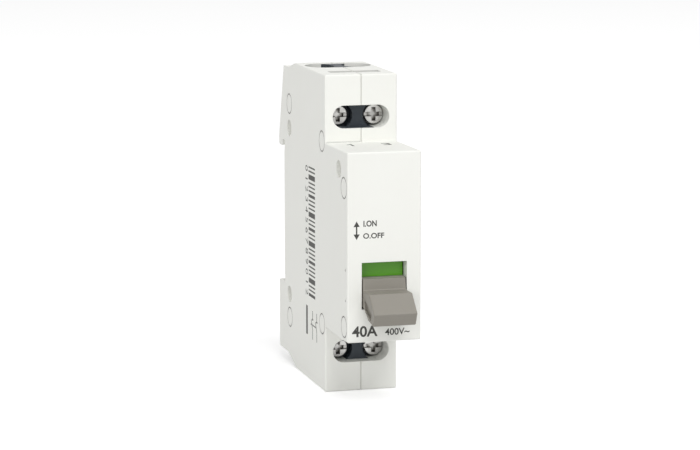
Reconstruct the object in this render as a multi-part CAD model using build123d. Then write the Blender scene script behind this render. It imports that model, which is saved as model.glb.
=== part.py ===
from build123d import *
import math
import os

# All sizes are millimetres. The front faces -Y, the rail lies behind at y = 0, and +Z is up.
# Depths are counted from the rail seat towards the front, heights from the rail's centre line.

# Case
module_width = 18.0
nose_height = 45.0
nose_depth = 60.0
shoulder_height = 16.0
side_wall = 1.0
front_wall = 1.6
end_wall = 2.0
edge_round = 0.4
seam_width = 0.26
seam_depth = 0.25
pocket_wall = 1.3
cut_margin = 1.0

# Rail side of the case, for a 35 mm top-hat rail
rail_height = 35.0
hook_overlap = 0.4
lower_leg_gap = 0.5
seat_pad_margin = 1.4
seat_relief = 0.3
lip_groove_gap = 1.2
lip_groove_width = 1.7
leg_reach = 5.5
hook_tip_thickness = 2.3
back_top_reach = 0.4
back_top_drop = 0.8
back_step_depth = 4.5
crest_depth = 11.6
crest_rise = 0.8
top_front_rise = 0.3
heel_start_depth = 12.0
heel_end_depth = 3.3
leg_foot_rise = 2.8
hook_round = 0.9

# Marks and sockets in the side walls, as depth and height
ring_diameter = 5.2
ring_line = 0.3
ring_depth = 0.35
ring_places = [(5.2, 28.5), (37.0, 22.6), (56.9, 13.9), (5.2, -26.3), (37.0, -22.1), (57.0, -19.1)]
socket_diameter = 4.2
socket_depth = 2.4
socket_wall = 0.8
socket_places = [(5.2, 22.3), (52.4, 17.8), (5.0, -20.4)]
lock_notch_size = 0.6
lock_notch_pitch = 7.2
lock_notch_setback = 1.8

# Locating posts that join the two halves
post_diameter = 4.6
peg_diameter = 2.4
peg_length = 5.0
peg_gap = 0.05
post_places = [(6.3, 30.5), (6.3, -29.5), (46.0, 15.0), (38.0, -17.0)]

# Terminals
screw_rise = 6.1
well_end_reach = 2.55
well_height = 5.5
screw_head_diameter = 4.7
screw_head_height = 1.7
screw_head_recess = 4.8
screw_shank_diameter = 3.5
shank_hole_gap = 0.2
thread_gap = 0.05
shelf_thickness = 1.2
drive_recess_depth = 1.0
drive_recess_width = 0.8
drive_recess_span = 3.2
drive_slot_width = 0.45
mouth_side_margin = 0.7
mouth_length = 9.8
mouth_offset = 1.4
label_groove_margin = 2.7
label_groove_length = 3.4
label_groove_setback = 4.6
label_groove_depth = 0.35

# Cage clamps
cage_side_gap = 1.3
cage_wall = 0.7
cage_height = 7.2
cage_block = 2.6
cage_back = 1.2
cage_throat = 6.9
cage_travel = 4.2
cage_gap = 0.35
chamber_rear_depth = 12.5
bar_room = 3.0

# Copper parts
bar_side_gap = 0.35
bar_thickness = 1.2
bar_end_gap = 3.5
bar_bend_radius = 1.6
upper_bar_bend_height = 14.5
upper_bar_rear_depth = 8.5
upper_bar_knee_height = 4.5
lower_bar_bend_height = 13.2
lower_bar_knee_depth = 30.5
foot_height = 5.6
rear_tip_depth = 14.6
front_tip_depth = 34.9
rear_foot_end_reach = 2.9
front_foot_end_reach = 3.1
tip_diameter = 3.2
tip_height = 1.0
bridge_overhang = 2.0
closed_gap = 0.1

# Toggle
window_side_margin = 3.5
window_top = 3.5
window_height = 11.1
window_rim_depth = 3.0
window_rim_wall = 0.8
pivot_setback = 7.5
pivot_height = -9.0
toggle_swing = 42.0
toggle_side_gap = 0.25
drum_radius = 6.6
toggle_pin_diameter = 2.0
pin_boss_diameter = 3.6
pin_running_gap = 0.05
crank_radius = 8.0
drive_pin_diameter = 2.4
crank_cheek_width = 1.85
crank_boss_radius = 2.1
hub_radius = 4.4
toggle_slot_width = 3.5
lever_edge_round = 0.35
lever_side_round = 0.35
drum_face_drop = 0.15
ledge_root_reach = 0.5
ledge_height = 10.1
ledge_tip_reach = 5.4
lever_tip_reach = 9.7
lever_crease_height = 14.2
lever_end_reach = 8.4
lever_end_height = 17.2
underside_bend_reach = 4.4
underside_bend_height = 16.5
underside_root_reach = 0.4
underside_root_height = 14.1
drum_join_setback = 2.0
drum_join_height = 13.4
pocket_depth = 0.6
pocket_root_reach = 1.4
pocket_root_height = 11.8
pocket_tip_reach = 7.5
pocket_tip_height = 14.4
pocket_end_reach = 6.7
pocket_end_height = 16.2
pocket_bend_reach = 1.7
pocket_bend_height = 14.3
detent_spread = 2.5
flag_setback = 2.6
flag_thickness = 1.0
flag_side_margin = 0.05
flag_bottom = 7.25
flag_top = 2.1
notch_radius = 0.8
notch_depth = 0.6
detent_gap = 0.3
detent_width = 2.6
detent_thickness = 0.3
detent_side_margin = 0.45

# Contact carrier
carrier_side_gap = 0.4
carrier_front_gap = 4.3
carrier_back_gap = 4.2
carrier_floor = 2.2
carrier_roof = 1.5
carrier_arm_width = 2.8
contact_spring_length = 5.4
contact_spring_diameter = 3.4
contact_spring_wire = 0.5
contact_spring_turns = 4
window_side_gap = 0.35
seat_gap = 0.05
yoke_wall = 1.2
yoke_gap = 0.08
guide_gap = 0.3
guide_rib = 1.2
guide_height = 1.0

# Partition between the poles
partition_thickness = 0.8
partition_gap = 0.05
partition_rear_depth = 3.0
partition_strip = 16.0
barrier_side_margin = 1.8
barrier_cut_gap = 0.45
barrier_rise = 1.5
mouth_barrier_width = 6.0
mouth_barrier_waist = 2.2
mouth_barrier_recess = 0.1

# Rail clip
clip_width = 7.4
clip_thickness = 3.0
clip_channel_depth = 1.0
clip_gap = 0.3
clip_reach = 1.3
clip_travel = 3.0
clip_foot_gap = 0.1
clip_nose_drop = 2.0
clip_nose_flat = 0.5
clip_window_width = 4.4
clip_bridge_height = 4.8
clip_stop_rise = 4.5
clip_stop_thickness = 1.5
clip_spring_diameter = 2.4
clip_spring_wire = 0.4
clip_spring_turns = 7
clip_slot_width = 4.0
clip_slot_height = 1.2

# Values worked out from the sizes above
half_width = module_width / 2
half_nose = nose_height / 2
half_body = half_nose + shoulder_height
inner_half_width = half_width - side_wall
pole_pitch = half_width
pole_x = pole_pitch / 2
well_width = pole_pitch + 2 * well_end_reach
mouth_width = module_width - 2 * mouth_side_margin
label_groove_width = module_width - 2 * label_groove_margin
cage_width = pole_pitch - 2 * cage_side_gap
bar_width = cage_width - 2 * cage_wall - 2 * bar_side_gap
window_width = module_width - 2 * window_side_margin
toggle_width = window_width - 2 * toggle_side_gap
flag_width = toggle_width - 2 * flag_side_margin
detent_offset = toggle_width / 2 - detent_side_margin - detent_width / 2
carrier_width = 2 * inner_half_width - 2 * carrier_side_gap
barrier_width = pole_pitch - 2 * barrier_side_margin
rail_half = rail_height / 2
hook_tip_height = rail_half - hook_overlap
hook_shoulder_height = hook_tip_height + hook_tip_thickness
lip_groove_top = rail_half + lip_groove_gap
lower_leg_height = rail_half + lower_leg_gap
leg_foot_height = half_body - leg_foot_rise
back_top_height = half_body - back_top_drop
top_front_height = half_body + top_front_rise
crest_height = half_body + crest_rise
screw_height = half_nose + screw_rise
mid_wall_inner = half_nose - front_wall
chamber_top = half_body - end_wall
bar_end_height = chamber_top - bar_end_gap
rear_foot_end_depth = rear_tip_depth + rear_foot_end_reach
front_foot_end_depth = front_tip_depth + front_foot_end_reach
carrier_front_depth = front_tip_depth - tip_diameter / 2 - carrier_front_gap
carrier_back_depth = rear_tip_depth + tip_diameter / 2 + carrier_back_gap
cage_rear_depth = chamber_rear_depth + cage_gap
throat_rear_depth = cage_rear_depth + cage_back
mouth_depth = throat_rear_depth + cage_throat / 2 + mouth_offset
bar_mid_depth = throat_rear_depth + cage_throat + bar_thickness / 2
screw_tip_depth = bar_mid_depth + bar_thickness / 2 + seat_gap
cage_block_back_depth = bar_mid_depth + bar_thickness / 2 + bar_room
cage_front_depth = cage_block_back_depth + cage_block
shelf_back_depth = cage_front_depth + cage_gap + cage_travel
head_seat_depth = shelf_back_depth + shelf_thickness
head_face_depth = head_seat_depth + screw_head_height
shoulder_depth = head_face_depth + screw_head_recess
top_slope = (crest_height - top_front_height) / (shoulder_depth - crest_depth)
mouth_top_height = top_front_height + top_slope * (shoulder_depth - mouth_depth)
pivot_depth = nose_depth - pivot_setback
lock_notch_depth = nose_depth - lock_notch_setback
crank_start_angle = toggle_swing / 2
crank_mid_depth = pivot_depth - crank_radius
drive_pin_depth = pivot_depth - crank_radius * math.cos(math.radians(crank_start_angle))
drive_pin_height = pivot_height + crank_radius * math.sin(math.radians(crank_start_angle))
carrier_travel = 2 * crank_radius * math.sin(math.radians(crank_start_angle))
fixed_tip_face = -foot_height + bar_thickness / 2 + tip_height
bridge_bottom = fixed_tip_face + carrier_travel + closed_gap + tip_height
bridge_top = bridge_bottom + bar_thickness
carrier_window_bottom = bridge_bottom - seat_gap
carrier_bottom = carrier_window_bottom - carrier_floor
carrier_window_top = bridge_top + seat_gap + contact_spring_length + seat_gap
carrier_top = carrier_window_top + carrier_roof
window_bottom = window_top + window_height
seat_pad_half = rail_half - seat_pad_margin
pocket_end = leg_foot_height - pocket_wall
partition_window_top = carrier_top + front_wall
partition_window_bottom = lower_bar_bend_height
mouth_barrier_sag = (mouth_barrier_width - mouth_barrier_waist) / 2
toggle_pin_half = half_width - side_wall / 2
carrier_mid_depth = (carrier_front_depth + carrier_back_depth) / 2
clip_tail_height = half_body - clip_travel - clip_foot_gap
clip_stop_height = clip_tail_height - clip_stop_rise
clip_tip_height = rail_half - clip_reach
clip_window_top = clip_tip_height + clip_bridge_height


def side_plate(outline, x_from, x_to):
    """Gives a closed side-view outline of (y, z) points a thickness from x_from to x_to."""
    face = make_face(Polyline(*outline, close=True))
    return extrude(Plane.YZ.offset(x_from) * face, amount=x_to - x_from)


def block(x_from, x_to, y_from, y_to, z_from, z_to):
    """Box between two values on each axis."""
    box = Box(x_to - x_from, y_to - y_from, z_to - z_from)
    return Pos((x_from + x_to) / 2, (y_from + y_to) / 2, (z_from + z_to) / 2) * box


def rod_x(radius, x_from, x_to, y, z):
    """Round bar along X."""
    return Pos((x_from + x_to) / 2, y, z) * Rot(0, 90, 0) * Cylinder(radius, x_to - x_from)


def rod_y(radius, x, y_from, y_to, z):
    """Round bar along Y."""
    return Pos(x, (y_from + y_to) / 2, z) * Rot(90, 0, 0) * Cylinder(radius, y_to - y_from)


def rod_z(radius, x, y, z_from, z_to):
    """Round bar along Z."""
    return Pos(x, y, (z_from + z_to) / 2) * Cylinder(radius, z_to - z_from)


def front_stadium(width, height, y_from, y_to, z):
    """Stadium as seen from the front, as deep as from y_from to y_to."""
    face = Plane.XZ.offset(-y_to) * Pos(0, z) * SlotOverall(width, height)
    return extrude(face, amount=y_to - y_from)


def top_stadium(width, length, z_from, z_to, y):
    """Stadium as seen from above."""
    face = Plane.XY.offset(z_from) * Pos(0, y) * SlotOverall(width, length)
    return extrude(face, amount=z_to - z_from)


def strip_outline(path, thickness):
    """Side-view outline of a flat strip bent along a path of (y, z) points, with mitred corners."""
    near_side = []
    far_side = []
    last = len(path) - 1
    for index, (y, z) in enumerate(path):
        steps = []
        if index > 0:
            steps.append((y - path[index - 1][0], z - path[index - 1][1]))
        if index < last:
            steps.append((path[index + 1][0] - y, path[index + 1][1] - z))
        normals = [(-dz / math.hypot(dy, dz), dy / math.hypot(dy, dz)) for dy, dz in steps]
        mitre_y = sum(normal[0] for normal in normals)
        mitre_z = sum(normal[1] for normal in normals)
        stretch = mitre_y * normals[0][0] + mitre_z * normals[0][1]
        shift_y = thickness / 2 * mitre_y / stretch
        shift_z = thickness / 2 * mitre_z / stretch
        near_side.append((y + shift_y, z + shift_z))
        far_side.append((y - shift_y, z - shift_z))
    return near_side + far_side[::-1]


def bent_strip(path, thickness, x_from, x_to, bend_radius):
    """Flat strip bent along a path, with its inner and outer bends rounded."""
    strip = side_plate(strip_outline(path, thickness), x_from, x_to)
    across = strip.edges().filter_by(Axis.X)
    for corner in path[1:-1]:
        centre = Vector((x_from + x_to) / 2, *corner)
        ordered = across.sort_by(lambda edge: (edge.center() - centre).length)
        inner, outer = sorted(ordered[:2], key=lambda edge: bend_side(edge, corner, path))
        strip = fillet(nearest_edge(strip, inner.center()), bend_radius)
        strip = fillet(nearest_edge(strip, outer.center()), bend_radius + thickness)
    return strip


def bend_side(edge, corner, path):
    """Distance from an edge to the middle of the path's two neighbouring points, shortest inside."""
    index = path.index(corner)
    middle_y = (path[index - 1][0] + path[index + 1][0]) / 2
    middle_z = (path[index - 1][1] + path[index + 1][1]) / 2
    return math.hypot(edge.center().Y - middle_y, edge.center().Z - middle_z)


def nearest_edge(shape, point):
    """Edge along X whose centre lies nearest to a point."""
    return shape.edges().filter_by(Axis.X).sort_by(lambda edge: (edge.center() - point).length)[0]


def coil_spring(diameter, wire, turns, z_from, z_to, x, y):
    """Compression spring standing along Z between two heights."""
    height = z_to - z_from - wire
    path = Helix(pitch=height / turns, height=height, radius=(diameter - wire) / 2)
    section = Plane(origin=path @ 0, z_dir=path % 0) * RegularPolygon(wire / 2, 4)
    coil = sweep(section, path=path, is_frenet=True)
    return Pos(x, y, z_from + wire / 2) * coil


# Outline of the case in the side view, as (y, z) points, from the nose's top front edge
case_outline = [
    (-nose_depth, half_nose),
    (-shoulder_depth, half_nose),
    (-shoulder_depth, top_front_height),
    (-crest_depth, crest_height),
    (-back_step_depth, back_top_height),
    (back_top_reach, back_top_height),
    (leg_reach, hook_shoulder_height),
    (leg_reach, hook_tip_height),
    (lip_groove_width, hook_tip_height),
    (lip_groove_width, lip_groove_top),
    (-seat_relief, lip_groove_top),
    (-seat_relief, seat_pad_half),
    (0, seat_pad_half),
    (0, -seat_pad_half),
    (-seat_relief, -seat_pad_half),
    (-seat_relief, -lower_leg_height),
    (leg_reach, -lower_leg_height),
    (leg_reach, -leg_foot_height),
    (-heel_end_depth, -leg_foot_height),
    (-heel_start_depth, -half_body),
    (-shoulder_depth, -half_body),
    (-shoulder_depth, -half_nose),
    (-nose_depth, -half_nose),
]
case_body = side_plate(case_outline, -half_width, half_width)
hook_corners = [(leg_reach, hook_tip_height), (lip_groove_width, hook_tip_height)]
leg_corners = [(leg_reach, -lower_leg_height), (leg_reach, -leg_foot_height)]
for corner_y, corner_z in hook_corners + leg_corners:
    case_body = fillet(nearest_edge(case_body, Vector(0, corner_y, corner_z)), hook_round)
upper_step = Vector(0, -shoulder_depth, half_nose)
lower_step = Vector(0, -shoulder_depth, -half_nose)
front_edges = [
    edge
    for edge in case_body.edges()
    if edge.center().Y < -heel_start_depth - edge_round
    and (edge.center() - upper_step).length > edge_round
    and (edge.center() - lower_step).length > edge_round
]
case_body = fillet(front_edges, edge_round)

# Hollow of the case: one chamber for the mechanism, and a terminal chamber and a rear pocket at each end
hollow = block(
    -inner_half_width, inner_half_width, front_wall - nose_depth, -end_wall, -mid_wall_inner, mid_wall_inner
)
for side in (1, -1):
    low, high = sorted((side * half_nose, side * chamber_top))
    hollow += block(-inner_half_width, inner_half_width, -shelf_back_depth, -chamber_rear_depth, low, high)
    low, high = sorted((side * (half_nose + front_wall), side * pocket_end))
    pocket_front = front_wall - chamber_rear_depth
    hollow += block(-inner_half_width, inner_half_width, pocket_front, -end_wall, low, high)
case = case_body - hollow

# Openings to the outside: toggle window, screw wells, cable mouths and the clip channel
window_front = -nose_depth - cut_margin
window_back = window_rim_depth - nose_depth
window = block(
    -window_width / 2, window_width / 2, window_front, window_back, -window_bottom, -window_top
)
rims = block(
    -window_width / 2 - window_rim_wall,
    window_width / 2 + window_rim_wall,
    front_wall - nose_depth,
    window_back,
    -window_bottom,
    -window_top,
)
case = case + rims - window
groove_half = label_groove_width / 2
groove_front = label_groove_setback - shoulder_depth
groove_back = groove_front + label_groove_length
slot_half = bar_width / 2 + seat_gap
slot_front = -bar_mid_depth - bar_thickness / 2 - seat_gap
slot_back = -bar_mid_depth + bar_thickness / 2 + seat_gap
shank_hole_radius = screw_shank_diameter / 2 + shank_hole_gap
for side, end_height in ((1, top_front_height), (-1, half_body)):
    screw_z = side * screw_height
    case -= front_stadium(well_width, well_height, -shoulder_depth - cut_margin, -head_seat_depth, screw_z)
    low, high = sorted((side * chamber_top, side * (end_height + cut_margin)))
    case -= top_stadium(mouth_width, mouth_length, low, high, -mouth_depth)
    low, high = sorted((side * (end_height - label_groove_depth), side * (end_height + cut_margin)))
    case -= block(-groove_half, groove_half, groove_front, groove_back, low, high)
    for pole in (-pole_x, pole_x):
        hole_front = -head_seat_depth - cut_margin
        hole_back = -shelf_back_depth + cut_margin
        case -= rod_y(shank_hole_radius, pole, hole_front, hole_back, screw_z)
        low, high = sorted((side * (mid_wall_inner - cut_margin), side * (half_nose + cut_margin)))
        case -= block(pole - slot_half, pole + slot_half, slot_front, slot_back, low, high)
clip_channel_half = clip_width / 2 + clip_gap
clip_channel_back = clip_channel_depth + clip_thickness + 2 * clip_gap
channel_top = -lower_leg_height + cut_margin
case -= block(
    -clip_channel_half, clip_channel_half, clip_channel_depth, clip_channel_back, -half_body, channel_top
)
clip_stop_half = clip_window_width / 2 - clip_gap
case += block(
    -clip_stop_half,
    clip_stop_half,
    clip_channel_depth,
    clip_channel_back - 2 * clip_gap,
    -clip_stop_height - clip_stop_thickness,
    -clip_stop_height,
)

# Side walls: blind sockets with their cups, notches beside the toggle, its pin bosses, and ring marks
for side in (1, -1):
    outside = side * half_width
    inside = side * inner_half_width
    for depth, height in socket_places:
        cup_floor = outside - side * (socket_depth + socket_wall)
        low, high = sorted((cup_floor, inside))
        case += rod_x(socket_diameter / 2 + socket_wall, low, high, -depth, height)
        low, high = sorted((outside - side * socket_depth, outside + side))
        case -= rod_x(socket_diameter / 2, low, high, -depth, height)
    for notch_side in (1, -1):
        notch_z = pivot_height + notch_side * lock_notch_pitch / 2
        low, high = sorted((outside - side * side_wall / 2, outside + side))
        half_notch = lock_notch_size / 2
        case -= block(
            low,
            high,
            -lock_notch_depth - half_notch,
            half_notch - lock_notch_depth,
            notch_z - half_notch,
            notch_z + half_notch,
        )
    low, high = sorted((side * (toggle_width / 2 + guide_gap), inside))
    case += rod_x(pin_boss_diameter / 2, low, high, -pivot_depth, pivot_height)
    rib_low, rib_high = sorted((inside - side * guide_height, inside))
    case += block(
        rib_low,
        rib_high,
        -carrier_front_depth - guide_gap - guide_rib,
        -carrier_front_depth - guide_gap,
        carrier_bottom - carrier_travel - guide_rib,
        carrier_top + guide_rib,
    )
    case += block(
        rib_low,
        rib_high,
        guide_gap - carrier_back_depth,
        guide_gap + guide_rib - carrier_back_depth,
        carrier_bottom - carrier_travel - guide_rib,
        carrier_top + guide_rib,
    )
case -= rod_x(toggle_pin_diameter / 2, -toggle_pin_half, toggle_pin_half, -pivot_depth, pivot_height)
for depth, height in ring_places:
    ring_front = -half_width - cut_margin
    ring_floor = ring_depth - half_width
    ring = rod_x(ring_diameter / 2, ring_front, ring_floor, -depth, height)
    case -= ring - rod_x(ring_diameter / 2 - ring_line, ring_front, ring_floor, -depth, height)

# Fine groove along the seam between the halves, everywhere but on the nose and the rail seat
outline_face = make_face(Polyline(*case_outline, close=True))
seam_face = outline_face - offset(outline_face, amount=-seam_depth)
seam = extrude(Plane.YZ.offset(-seam_width / 2) * seam_face, amount=seam_width)
nose_top = half_nose + seam_depth
seam -= block(-seam_width, seam_width, -nose_depth, -shoulder_depth, -nose_top, nose_top)
seam -= block(-seam_width, seam_width, -seam_depth, 0, -seat_pad_half, seat_pad_half)
case -= seam

# Thin partition between the poles, with a barrier block in each screw well and each cable mouth
partition_outline = [
    (-head_seat_depth, chamber_top),
    (-chamber_rear_depth, chamber_top),
    (-chamber_rear_depth, pocket_end),
    (-partition_rear_depth, pocket_end),
    (-partition_rear_depth, -pocket_end),
    (-chamber_rear_depth, -pocket_end),
    (-chamber_rear_depth, -chamber_top),
    (-head_seat_depth, -chamber_top),
    (-head_seat_depth, -partition_window_bottom),
    (-partition_rear_depth - partition_strip, -partition_window_bottom),
    (-partition_rear_depth - partition_strip, partition_window_top),
    (-head_seat_depth, partition_window_top),
]
partition = side_plate(partition_outline, -partition_thickness / 2, partition_thickness / 2)
partition_slot_half = partition_thickness / 2 + partition_gap
case -= side_plate(partition_outline, -partition_slot_half, partition_slot_half)
post_hole_radius = post_diameter / 2 + partition_gap
for depth, height in post_places:
    partition -= rod_x(post_hole_radius, -partition_thickness, partition_thickness, -depth, height)
mouth_side_radius = (mouth_length ** 2 / 4 + mouth_barrier_sag ** 2) / (2 * mouth_barrier_sag)
barrier_cut_radius = well_height / 2 + barrier_cut_gap
for side, end_height in ((1, mouth_top_height), (-1, half_body)):
    barrier = front_stadium(
        well_width, well_height, -head_face_depth - barrier_rise, -head_seat_depth, side * screw_height
    )
    barrier &= block(-barrier_width / 2, barrier_width / 2, -shoulder_depth, 0, -half_body, half_body)
    low, high = sorted((side * chamber_top, side * (end_height - mouth_barrier_recess)))
    mouth_barrier = top_stadium(mouth_width, mouth_length, low, high, -mouth_depth)
    mouth_barrier &= block(-mouth_barrier_width / 2, mouth_barrier_width / 2, -shoulder_depth, 0, low, high)
    for pole_side in (1, -1):
        barrier -= rod_y(barrier_cut_radius, pole_side * pole_x, -shoulder_depth, 0, side * screw_height)
        centre_x = pole_side * (mouth_barrier_waist / 2 + mouth_side_radius)
        mouth_barrier -= rod_z(mouth_side_radius, centre_x, -mouth_depth, low, high)
    partition += [barrier, mouth_barrier]

# Left and right halves: they meet at x = 0, and the left one carries the whole front of the nose
nose_front = block(0, half_width, -nose_depth, front_wall - nose_depth, -half_nose, half_nose)
rim_half = window_width / 2 + window_rim_wall
nose_front += block(0, rim_half, -nose_depth, window_back, -window_bottom, -window_top)
for side in (1, -1):
    low, high = sorted((side * mid_wall_inner, side * half_nose))
    nose_front += block(0, half_width, -nose_depth, -shoulder_depth, low, high)
left_side = block(-half_width, 0, -nose_depth, leg_reach, -half_body, crest_height) + nose_front
left_housing = case & left_side
right_housing = case - left_side
for depth, height in post_places:
    post = rod_x(post_diameter / 2, -inner_half_width, 0, -depth, height)
    left_housing += post - rod_x(peg_diameter / 2 + peg_gap, -peg_length - peg_gap, 0, -depth, height)
    right_housing += rod_x(post_diameter / 2, 0, inner_half_width, -depth, height)
    right_housing += rod_x(peg_diameter / 2, -peg_length, 0, -depth, height)

# Copper bars with their fixed contact tips, and the bridges that join them
upper_bar_path = [
    (-bar_mid_depth, bar_end_height),
    (-bar_mid_depth, upper_bar_bend_height),
    (-upper_bar_rear_depth, upper_bar_knee_height),
    (-upper_bar_rear_depth, -foot_height),
    (-rear_foot_end_depth, -foot_height),
]
lower_bar_path = [
    (-bar_mid_depth, -bar_end_height),
    (-bar_mid_depth, -lower_bar_bend_height),
    (-lower_bar_knee_depth, -foot_height),
    (-front_foot_end_depth, -foot_height),
]
bar_top = -foot_height + bar_thickness / 2
poles = {"left": -pole_x, "right": pole_x}
parts = {}
for pole_name, pole in poles.items():
    bar_left = pole - bar_width / 2
    bar_right = pole + bar_width / 2
    ends = {"upper": (upper_bar_path, rear_tip_depth), "lower": (lower_bar_path, front_tip_depth)}
    for end_name, (path, tip_depth) in ends.items():
        parts["terminal_bar_" + end_name + "_" + pole_name] = bent_strip(
            path, bar_thickness, bar_left, bar_right, bar_bend_radius
        )
        parts["fixed_tip_" + end_name + "_" + pole_name] = rod_z(
            tip_diameter / 2, pole, -tip_depth, bar_top, fixed_tip_face
        )
    bridge = block(
        bar_left,
        bar_right,
        -front_tip_depth - bridge_overhang,
        bridge_overhang - rear_tip_depth,
        bridge_bottom,
        bridge_top,
    )
    bridge_corners = bridge.edges().filter_by(Axis.Z)
    parts["moving_contact_" + pole_name] = fillet(bridge_corners, bar_thickness)
    tips = []
    for tip_depth in (front_tip_depth, rear_tip_depth):
        tips.append(rod_z(tip_diameter / 2, pole, -tip_depth, bridge_bottom - tip_height, bridge_bottom))
    parts["moving_tips_" + pole_name] = Compound(children=tips)
    parts["contact_spring_" + pole_name] = coil_spring(
        contact_spring_diameter,
        contact_spring_wire,
        contact_spring_turns,
        bridge_top + seat_gap,
        carrier_window_top - seat_gap,
        pole,
        -carrier_mid_depth,
    )

# Cage clamps and their screws
for pole_name, pole in poles.items():
    for end_name, side in {"upper": 1, "lower": -1}.items():
        screw_z = side * screw_height
        cage = block(
            pole - cage_width / 2,
            pole + cage_width / 2,
            -cage_front_depth,
            -cage_rear_depth,
            screw_z - cage_height / 2,
            screw_z + cage_height / 2,
        )
        cage = fillet(cage.edges().filter_by(Axis.Z), cage_wall)
        cage -= block(
            pole - cage_width / 2 + cage_wall,
            pole + cage_width / 2 - cage_wall,
            -cage_block_back_depth,
            -throat_rear_depth,
            screw_z - cage_height,
            screw_z + cage_height,
        )
        thread_front = -cage_front_depth - cut_margin
        thread_back = -cage_block_back_depth + cut_margin
        cage -= rod_y(screw_shank_diameter / 2 + thread_gap, pole, thread_front, thread_back, screw_z)
        parts["cage_clamp_" + end_name + "_" + pole_name] = cage

        head = rod_y(screw_head_diameter / 2, pole, -head_face_depth, -head_seat_depth - seat_gap, screw_z)
        head_front = -head_face_depth - cut_margin
        recess_back = drive_recess_depth - head_face_depth
        cross_arms = ((drive_recess_span, drive_recess_width), (drive_recess_width, drive_recess_span))
        for wide, tall in cross_arms:
            cross_x = (pole - wide / 2, pole + wide / 2)
            cross_z = (screw_z - tall / 2, screw_z + tall / 2)
            head -= block(*cross_x, head_front, recess_back, *cross_z)
        head -= block(
            pole - screw_head_diameter,
            pole + screw_head_diameter,
            head_front,
            drive_recess_depth / 2 - head_face_depth,
            screw_z - drive_slot_width / 2,
            screw_z + drive_slot_width / 2,
        )
        shank = rod_y(screw_shank_diameter / 2, pole, -head_seat_depth - seat_gap, -screw_tip_depth, screw_z)
        parts["terminal_screw_" + end_name + "_" + pole_name] = head + shank

# Toggle: drum and lever in one moulding, crank cheeks at the back, and the flag let in at the front
flag_depth = nose_depth - flag_setback
flag_seat_depth = flag_depth - flag_thickness
lever_outline = [
    (-flag_seat_depth, -flag_bottom),
    (-nose_depth, -flag_bottom - drum_face_drop),
    (-nose_depth - ledge_root_reach, -ledge_height),
    (-nose_depth - ledge_tip_reach, -ledge_height),
    (-nose_depth - lever_tip_reach, -lever_crease_height),
    (-nose_depth - lever_end_reach, -lever_end_height),
    (-nose_depth - underside_bend_reach, -underside_bend_height),
    (-nose_depth - underside_root_reach, -underside_root_height),
    (-nose_depth + drum_join_setback, -drum_join_height),
    (-pivot_depth, pivot_height - hub_radius),
    (-pivot_depth, -flag_bottom),
]
toggle_half = toggle_width / 2
lever = side_plate(lever_outline, -toggle_half, toggle_half)
for corner_y, corner_z in lever_outline[2:7]:
    lever = fillet(nearest_edge(lever, Vector(0, corner_y, corner_z)), lever_edge_round)
side_edges = [
    edge
    for edge in lever.edges()
    if edge.center().Y < -nose_depth - ledge_root_reach and abs(edge.center().X) > toggle_half - seat_gap
]
lever = fillet(side_edges, lever_side_round)
pocket_outline = [
    (-nose_depth - pocket_root_reach, -pocket_root_height),
    (-nose_depth - pocket_tip_reach, -pocket_tip_height),
    (-nose_depth - pocket_end_reach, -pocket_end_height),
    (-nose_depth - pocket_bend_reach, -pocket_bend_height),
]
for side in (1, -1):
    low, high = sorted((side * (toggle_half - pocket_depth), side * (toggle_half + cut_margin)))
    lever -= side_plate(pocket_outline, low, high)
drum = rod_x(drum_radius, -toggle_half, toggle_half, -pivot_depth, pivot_height)
drum -= block(-toggle_width, toggle_width, -nose_depth, -flag_seat_depth, -flag_bottom, 0)
yoke_room_half = toggle_slot_width / 2
drive_pin_half = yoke_room_half + crank_cheek_width
for side in (1, -1):
    low, high = sorted((side * yoke_room_half, side * drive_pin_half))
    drum += rod_x(crank_boss_radius, low, high, -drive_pin_depth, drive_pin_height)
for notch_angle in (90, 90 + toggle_swing):
    notch_centre = drum_radius - notch_depth + notch_radius
    notch_y = -pivot_depth - notch_centre * math.cos(math.radians(notch_angle))
    notch_z = pivot_height - notch_centre * math.sin(math.radians(notch_angle))
    drum -= rod_x(notch_radius, -toggle_width, toggle_width, notch_y, notch_z)
yoke_room_front = -pivot_depth - crank_boss_radius
yoke_room = block(
    -yoke_room_half, yoke_room_half, yoke_room_front, -shoulder_depth, -half_nose, half_nose
)
yoke_room -= rod_x(hub_radius, -yoke_room_half, yoke_room_half, -pivot_depth, pivot_height)
toggle = drum + lever - yoke_room
pin_radius = toggle_pin_diameter / 2
toggle -= rod_x(pin_radius + pin_running_gap, -toggle_width, toggle_width, -pivot_depth, pivot_height)
toggle -= rod_x(drive_pin_diameter / 2, -toggle_width, toggle_width, -drive_pin_depth, drive_pin_height)
parts["toggle"] = toggle
parts["open_flag"] = block(
    -flag_width / 2, flag_width / 2, -flag_depth, -flag_seat_depth, -flag_bottom, -flag_top
)
parts["toggle_pin"] = rod_x(pin_radius, -toggle_pin_half, toggle_pin_half, -pivot_depth, pivot_height)
parts["drive_pin"] = rod_x(
    drive_pin_diameter / 2, -drive_pin_half, drive_pin_half, -drive_pin_depth, drive_pin_height
)

# Detent leaf under the drum, its nose in the notch
leaf_height = -mid_wall_inner + detent_thickness / 2 + seat_gap
detent_nose_height = pivot_height - drum_radius + notch_depth - detent_gap - detent_thickness
leaf_path = [
    (-pivot_depth - 2 * detent_spread, leaf_height),
    (-pivot_depth - detent_spread, leaf_height),
    (-pivot_depth, detent_nose_height),
    (-pivot_depth + detent_spread, leaf_height),
    (-pivot_depth + 2 * detent_spread, leaf_height),
]
leaf_left = detent_offset - detent_width / 2
leaf_right = detent_offset + detent_width / 2
parts["detent_spring"] = side_plate(strip_outline(leaf_path, detent_thickness), leaf_left, leaf_right)

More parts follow.
